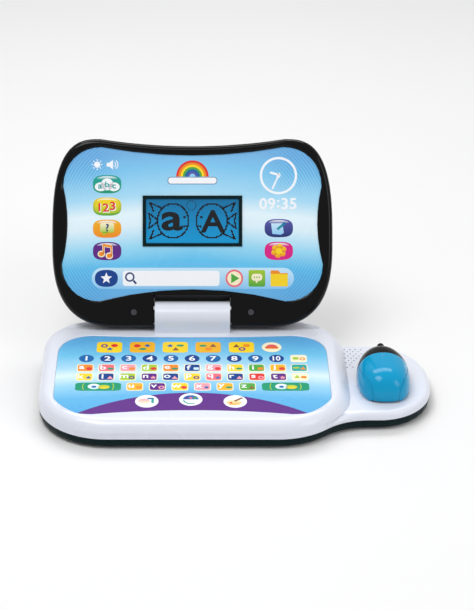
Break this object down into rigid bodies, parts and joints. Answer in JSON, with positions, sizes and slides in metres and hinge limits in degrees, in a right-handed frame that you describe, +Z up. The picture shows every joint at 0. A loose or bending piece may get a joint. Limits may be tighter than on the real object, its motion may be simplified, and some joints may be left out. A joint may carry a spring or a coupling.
{
  "type": "toy laptop computer",
  "caption": "Toddler's toy laptop: fold-down screen lid on a central hinge, flat membrane keyboard, and a captive sliding mouse with a click cover on a side platform.",
  "frame": {"origin": "centre of the main body on the surface the toy stands on, level with the bottom of its rubber feet", "axes": "+X to the right towards the mouse platform, +Y to the back towards the hinge, +Z up"},
  "size_m": [0.342, 0.2441, 0.1865],
  "materials": {
    "white_plastic": "smooth satin-gloss moulding",
    "dark_teal_plastic": "fine-grained moulding",
    "gloss_black": "high gloss",
    "mouse_blue": "high gloss",
    "printed_film": "printed film, satin gloss",
    "printed_faceplate": "printed sheet, satin gloss",
    "clear_film": "plain polyester film",
    "clear_window": "clear gloss",
    "lcd_blue": "back-lit liquid crystal",
    "lcd_frame_black": "satin",
    "light_guide": "milky clear",
    "circuit_board": "solder resist",
    "chip_black": "moulded epoxy",
    "battery_wrap": "printed sleeve",
    "contact_metal": "nickel plated",
    "screw_steel": "zinc plated",
    "dark_screw": "black oxide",
    "pin_steel": "ground",
    "speaker_metal": "pressed steel",
    "speaker_paper": "coated paper",
    "magnet": "ferrite",
    "rubber": "matt",
    "cable_black": "matt sleeve",
    "inner_plastic": "natural moulding",
    "mechanism_plastic": "acetal"
  },
  "bodies": {
    "base": {"base_bottom_shell": "dark_teal_plastic", "base_top_shell": "white_plastic", "battery_door": "dark_teal_plastic", "battery_door_screw": "screw_steel", "battery_cells": "battery_wrap", "battery_contacts": "contact_metal", "main_circuit_board": "circuit_board", "controller_chip": "chip_black", "speaker_basket": "speaker_metal", "speaker_cone": "speaker_paper", "speaker_magnet": "magnet", "keyboard_overlay": "printed_film", "membrane_top_film": "clear_film", "membrane_spacer_film": "clear_film", "membrane_bottom_film": "clear_film", "keyboard_support_plate": "inner_plastic", "base_screws": "screw_steel", "rubber_feet": "rubber", "hinge_housing": "white_plastic", "lid_cable": "cable_black", "carriage_rails": "inner_plastic", "mouse_switch_board": "circuit_board", "direction_switches": "chip_black", "mouse_y_springs": "contact_metal"},
    "lid": {"hinge_pins": "pin_steel", "hinge_washers": "rubber", "lid_back_shell": "gloss_black", "lid_front_bezel": "gloss_black", "screen_faceplate": "printed_faceplate", "lcd_frame": "lcd_frame_black", "lcd_window": "clear_window", "lcd_glass": "lcd_blue", "lcd_light_guide": "light_guide", "lcd_zebra_strips": "rubber", "lcd_driver_board": "circuit_board", "backlight_led": "light_guide", "lid_screws": "dark_screw"},
    "mouse_slide": {"mouse_carriage": "mechanism_plastic", "mouse_x_springs": "contact_metal"},
    "mouse": {"mouse_chassis": "mouse_blue", "mouse_retaining_plate": "mechanism_plastic", "mouse_retaining_screw": "screw_steel", "mouse_glide_pads": "inner_plastic", "mouse_click_switch": "chip_black", "mouse_click_spring": "contact_metal", "mouse_left_grip": "mouse_blue", "mouse_right_grip": "mouse_blue", "mouse_nose_trim": "gloss_black", "mouse_cord_nub": "gloss_black"},
    "mouse_cover": {"mouse_click_cover": "mouse_blue"}
  },
  "joints": [
    {"name": "lid_hinge", "type": "hinge", "parent": "base", "child": "lid", "pos_m": [0, 0.072, 0.0422], "axis": [1, 0, 0], "range_deg": [0, 119.5]},
    {"name": "mouse_fore_aft", "type": "slide", "parent": "base", "child": "mouse_slide", "axis": [0, 1, 0], "range_m": [-0.003, 0.003], "stiffness_N_per_m": 250, "deforming": ["mouse_y_springs"]},
    {"name": "mouse_sideways", "type": "slide", "parent": "mouse_slide", "child": "mouse", "axis": [1, 0, 0], "range_m": [-0.003, 0.003], "stiffness_N_per_m": 250, "deforming": ["mouse_x_springs"]},
    {"name": "mouse_click", "type": "slide", "parent": "mouse", "child": "mouse_cover", "axis": [0, 0, -1], "range_m": [0, 0.0015], "stiffness_N_per_m": 400, "springref_m": -0.0015, "deforming": ["mouse_click_spring"]}
  ]
}
